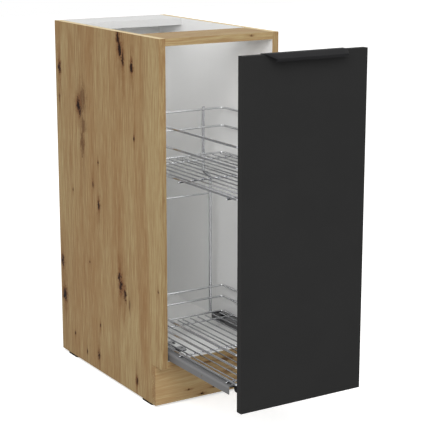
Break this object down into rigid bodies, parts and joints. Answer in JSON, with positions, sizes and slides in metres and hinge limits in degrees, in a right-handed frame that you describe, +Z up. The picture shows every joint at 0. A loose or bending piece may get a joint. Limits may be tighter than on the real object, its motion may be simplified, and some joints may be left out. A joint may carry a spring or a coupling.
{
  "type": "pull-out base cabinet",
  "caption": "Narrow base cabinet whose tall black front draws wire baskets out on roller runners; oak-look carcass with a toe recess on low glides",
  "frame": {"origin": "middle of the footprint of the whole part at floor level, with the front drawn out as pictured", "axes": "+X across to the right seen from the front, +Y from the front to the back, +Z up"},
  "size_m": [0.3, 0.841, 0.82],
  "materials": {
    "oak_board": "oak-look laminate, satin, grain upright on the sides and across on the plinth and rail",
    "white_board": "white melamine, satin",
    "dowel_wood": "plain beech",
    "front_black": "super-matt black laminate",
    "black_sheet": "fine matt black powder coat",
    "black_steel": "black, satin",
    "plated_steel": "zinc plated sheet",
    "fixing_steel": "zinc plated",
    "runner_plastic": "dark grey, matt",
    "black_plastic": "black, matt",
    "roller_plastic": "black, satin",
    "bumper_rubber": "soft, pale",
    "chrome_wire": "bright chrome plated wire"
  },
  "bodies": {
    "cabinet": {"left_side_panel": "oak_board", "right_side_panel": "oak_board", "plinth_board": "oak_board", "front_rail": "oak_board", "bottom_panel": "white_board", "rear_rail": "white_board", "back_panel": "white_board", "glides": "black_plastic", "dowels": "dowel_wood", "cam_locks": "fixing_steel", "cam_bolts": "fixing_steel", "left_runner": "runner_plastic", "right_runner": "runner_plastic", "runner_screws": "fixing_steel", "roller_axles": "fixing_steel", "floor_catch": "plated_steel", "catch_screws": "fixing_steel"},
    "pull_out": {"front_panel": "front_black", "front_bumpers": "bumper_rubber", "edge_handle": "black_sheet", "handle_screws": "black_steel", "left_front_bracket": "black_sheet", "right_front_bracket": "black_sheet", "bracket_screws": "fixing_steel", "bracket_rivets": "fixing_steel", "left_carrier": "plated_steel", "right_carrier": "plated_steel", "frame_clamps": "black_plastic", "clamp_screws": "fixing_steel", "rear_left_upright": "chrome_wire", "rear_right_upright": "chrome_wire", "rear_frame_bar": "chrome_wire", "front_left_upright": "chrome_wire", "front_right_upright": "chrome_wire", "front_frame_bar": "chrome_wire", "lower_base_rim": "chrome_wire", "lower_middle_rim": "chrome_wire", "lower_top_rim": "chrome_wire", "lower_cross_wires": "chrome_wire", "lower_floor_wires": "chrome_wire", "upper_base_rim": "chrome_wire", "upper_middle_rim": "chrome_wire", "upper_top_rim": "chrome_wire", "upper_cross_wires": "chrome_wire", "upper_floor_wires": "chrome_wire"},
    "left_roller_1_body": {"left_roller_1": "roller_plastic"},
    "left_roller_2_body": {"left_roller_2": "roller_plastic"},
    "left_roller_3_body": {"left_roller_3": "roller_plastic"},
    "left_roller_4_body": {"left_roller_4": "roller_plastic"},
    "right_roller_1_body": {"right_roller_1": "roller_plastic"},
    "right_roller_2_body": {"right_roller_2": "roller_plastic"},
    "right_roller_3_body": {"right_roller_3": "roller_plastic"},
    "right_roller_4_body": {"right_roller_4": "roller_plastic"}
  },
  "joints": [
    {"name": "pull_out_slide", "type": "slide", "parent": "cabinet", "child": "pull_out", "axis": [0, 1, 0], "range_m": [-0.02, 0.299]},
    {"name": "left_roller_1_spin", "type": "hinge", "parent": "cabinet", "child": "left_roller_1_body", "pos_m": [-0.1195, 0.01247, 0.125], "axis": [1, 0, 0], "range_deg": [-2145, 145]},
    {"name": "left_roller_2_spin", "type": "hinge", "parent": "cabinet", "child": "left_roller_2_body", "pos_m": [-0.1195, 0.04047, 0.125], "axis": [1, 0, 0], "range_deg": [-2145, 145]},
    {"name": "left_roller_3_spin", "type": "hinge", "parent": "cabinet", "child": "left_roller_3_body", "pos_m": [-0.1195, 0.06847, 0.125], "axis": [1, 0, 0], "range_deg": [-2145, 145]},
    {"name": "left_roller_4_spin", "type": "hinge", "parent": "cabinet", "child": "left_roller_4_body", "pos_m": [-0.1195, 0.09648, 0.125], "axis": [1, 0, 0], "range_deg": [-2145, 145]},
    {"name": "right_roller_1_spin", "type": "hinge", "parent": "cabinet", "child": "right_roller_1_body", "pos_m": [0.1195, 0.01247, 0.125], "axis": [1, 0, 0], "range_deg": [-2145, 145]},
    {"name": "right_roller_2_spin", "type": "hinge", "parent": "cabinet", "child": "right_roller_2_body", "pos_m": [0.1195, 0.04047, 0.125], "axis": [1, 0, 0], "range_deg": [-2145, 145]},
    {"name": "right_roller_3_spin", "type": "hinge", "parent": "cabinet", "child": "right_roller_3_body", "pos_m": [0.1195, 0.06847, 0.125], "axis": [1, 0, 0], "range_deg": [-2145, 145]},
    {"name": "right_roller_4_spin", "type": "hinge", "parent": "cabinet", "child": "right_roller_4_body", "pos_m": [0.1195, 0.09648, 0.125], "axis": [1, 0, 0], "range_deg": [-2145, 145]}
  ],
  "couplings": [
    {"joint": "left_roller_1_spin", "follows": "pull_out_slide", "rad_per_m": -125},
    {"joint": "left_roller_2_spin", "follows": "pull_out_slide", "rad_per_m": -125},
    {"joint": "left_roller_3_spin", "follows": "pull_out_slide", "rad_per_m": -125},
    {"joint": "left_roller_4_spin", "follows": "pull_out_slide", "rad_per_m": -125},
    {"joint": "right_roller_1_spin", "follows": "pull_out_slide", "rad_per_m": -125},
    {"joint": "right_roller_2_spin", "follows": "pull_out_slide", "rad_per_m": -125},
    {"joint": "right_roller_3_spin", "follows": "pull_out_slide", "rad_per_m": -125},
    {"joint": "right_roller_4_spin", "follows": "pull_out_slide", "rad_per_m": -125}
  ]
}
